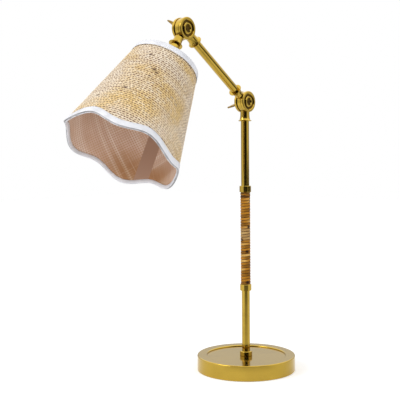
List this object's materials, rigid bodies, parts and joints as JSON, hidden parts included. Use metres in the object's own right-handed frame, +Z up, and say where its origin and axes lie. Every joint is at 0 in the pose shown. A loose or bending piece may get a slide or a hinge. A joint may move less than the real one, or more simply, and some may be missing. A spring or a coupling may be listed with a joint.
{
  "type": "desk lamp",
  "caption": "Swivel-arm brass desk lamp: weighted round base, cane-wrapped stem, wing-nut knuckles and a tapered raffia shade with a scalloped, taped hem.",
  "frame": {"origin": "middle of the felt's underside, where the base stands on the desk", "axes": "+Z up along the stem; the arm and the shade reach towards -Y; both pivots lie along X, with the round bolt heads on +X and the wing nuts on -X"},
  "size_m": [0.169, 0.4148, 0.5343],
  "materials": {
    "brass": "polished, lightly aged",
    "dark_brass": "aged",
    "steel": "zinc plated",
    "cast_iron": "as cast, painted",
    "felt": "felt",
    "rubber": "matt",
    "cane": "lacquered cane",
    "phenolic": "satin",
    "white_wire": "white enamel",
    "raffia": "woven raffia on a stiff backing",
    "lining": "slubbed linen",
    "tape": "woven cotton tape",
    "bulb_metal": "plain",
    "bulb_insulator": "gloss",
    "bulb_glass": "frosted"
  },
  "bodies": {
    "base": {"base_shell": "brass", "base_weight": "cast_iron", "base_pad": "felt", "base_washer": "steel", "base_nut": "steel", "base_nipple": "steel", "cord_grommet": "rubber", "stem_collar": "brass", "stem_tube": "brass", "lower_ferrule": "brass", "rattan_wrap": "cane", "upper_ferrule": "brass", "elbow_fork": "brass", "elbow_washers": "dark_brass", "elbow_bolt": "brass", "elbow_lock_washer": "steel"},
    "elbow_nut": {"elbow_wing_nut": "dark_brass"},
    "arm": {"elbow_disc": "brass", "arm_tube": "brass", "head_fork": "brass", "head_washers": "dark_brass", "head_bolt": "brass", "head_lock_washer": "steel"},
    "head_nut": {"head_wing_nut": "dark_brass"},
    "head": {"head_disc": "brass", "socket_cap": "brass", "socket_locknut": "steel", "socket_insulator": "phenolic", "socket_screw_shell": "brass", "socket_contact": "brass", "shade_ring": "phenolic", "shade_hub": "white_wire", "shade_spokes": "white_wire", "shade_top_wire": "white_wire", "shade_hem_wire": "white_wire", "shade_raffia": "raffia", "shade_lining": "lining", "top_trim": "tape", "hem_trim": "tape", "bulb_cap": "bulb_metal", "bulb_contact": "bulb_insulator", "bulb_globe": "bulb_glass"}
  },
  "joints": [
    {"name": "elbow_swing", "type": "hinge", "parent": "base", "child": "arm", "pos_m": [0, 0, 0.42], "axis": [1, 0, 0], "range_deg": [-55, 25]},
    {"name": "head_tilt", "type": "hinge", "parent": "arm", "child": "head", "pos_m": [0, -0.14008, 0.51808], "axis": [1, 0, 0], "range_deg": [-60, 28]},
    {"name": "elbow_nut_turn", "type": "hinge", "parent": "base", "child": "elbow_nut", "pos_m": [-0.012, 0, 0.42], "axis": [-1, 0, 0], "continuous": true},
    {"name": "head_nut_turn", "type": "hinge", "parent": "arm", "child": "head_nut", "pos_m": [-0.012, -0.14008, 0.51808], "axis": [-1, 0, 0], "continuous": true}
  ]
}
